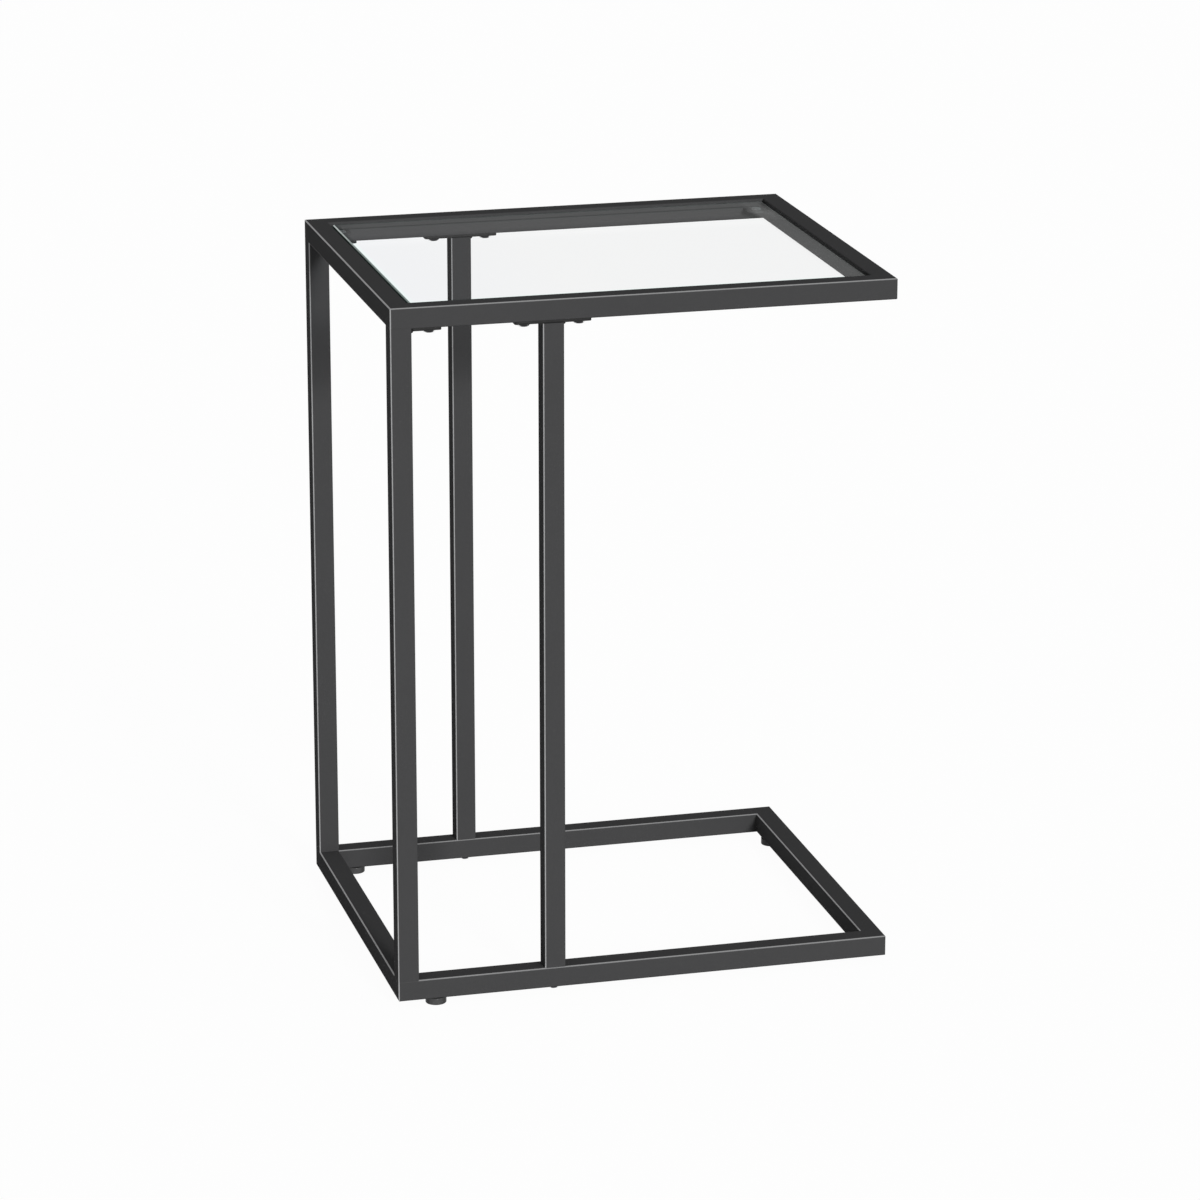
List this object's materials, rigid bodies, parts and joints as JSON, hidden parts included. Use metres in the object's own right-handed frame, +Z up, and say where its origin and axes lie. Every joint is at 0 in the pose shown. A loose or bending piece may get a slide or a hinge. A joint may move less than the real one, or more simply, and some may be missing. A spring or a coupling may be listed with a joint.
{
  "type": "c shaped side table",
  "caption": "C-shaped side table: a clear glass panel in a black square-tube frame, posts along one side and an open floor frame that slides under a sofa.",
  "frame": {"origin": "on the floor, under the middle of the table's outline", "axes": "+Z up, -Y the front, -X the side that carries the posts"},
  "size_m": [0.48, 0.39, 0.675],
  "materials": {
    "black_steel": "fine-textured satin black powder coat",
    "black_bolt": "glossy black oxide",
    "zinc_steel": "zinc plated",
    "clear_glass": "clear tempered float glass, ground green edge",
    "clear_bumper": "clear soft polyurethane",
    "foot_plastic": "moulded black, glossy"
  },
  "bodies": {
    "frame": {"base_bolts": "black_bolt", "base_rail_front": "black_steel", "base_rail_left": "black_steel", "base_rail_rear": "black_steel", "base_rail_right": "black_steel", "centre_plate_front": "black_steel", "centre_plate_rear": "black_steel", "centre_post_front": "black_steel", "centre_post_rear": "black_steel", "corner_post_front": "black_steel", "corner_post_rear": "black_steel", "corner_tab_front": "black_steel", "corner_tab_rear": "black_steel", "foot_rivet_nuts": "zinc_steel", "glass_bumper_front_left": "clear_bumper", "glass_bumper_front_right": "clear_bumper", "glass_bumper_rear_left": "clear_bumper", "glass_bumper_rear_right": "clear_bumper", "glass_support_front_left": "black_steel", "glass_support_front_right": "black_steel", "glass_support_rear_left": "black_steel", "glass_support_rear_right": "black_steel", "post_plug_front": "zinc_steel", "post_plug_rear": "zinc_steel", "top_bolts": "black_bolt", "top_rail_front": "black_steel", "top_rail_left": "black_steel", "top_rail_rear": "black_steel", "top_rail_right": "black_steel", "top_rivet_nuts": "zinc_steel"},
    "glass": {"glass_top": "clear_glass"},
    "foot_front_left": {"foot_pad_front_left": "foot_plastic", "foot_stud_front_left": "zinc_steel"},
    "foot_rear_left": {"foot_pad_rear_left": "foot_plastic", "foot_stud_rear_left": "zinc_steel"},
    "foot_front_right": {"foot_pad_front_right": "foot_plastic", "foot_stud_front_right": "zinc_steel"},
    "foot_rear_right": {"foot_pad_rear_right": "foot_plastic", "foot_stud_rear_right": "zinc_steel"}
  },
  "joints": [
    {"name": "glass_lift", "type": "slide", "parent": "frame", "child": "glass", "axis": [0, 0, 1], "range_m": [0, 0.03]},
    {"name": "foot_front_left_screw", "type": "slide", "parent": "frame", "child": "foot_front_left", "axis": [0, 0, -1], "range_m": [0, 0.008]},
    {"name": "foot_rear_left_screw", "type": "slide", "parent": "frame", "child": "foot_rear_left", "axis": [0, 0, -1], "range_m": [0, 0.008]},
    {"name": "foot_front_right_screw", "type": "slide", "parent": "frame", "child": "foot_front_right", "axis": [0, 0, -1], "range_m": [0, 0.008]},
    {"name": "foot_rear_right_screw", "type": "slide", "parent": "frame", "child": "foot_rear_right", "axis": [0, 0, -1], "range_m": [0, 0.008]}
  ]
}
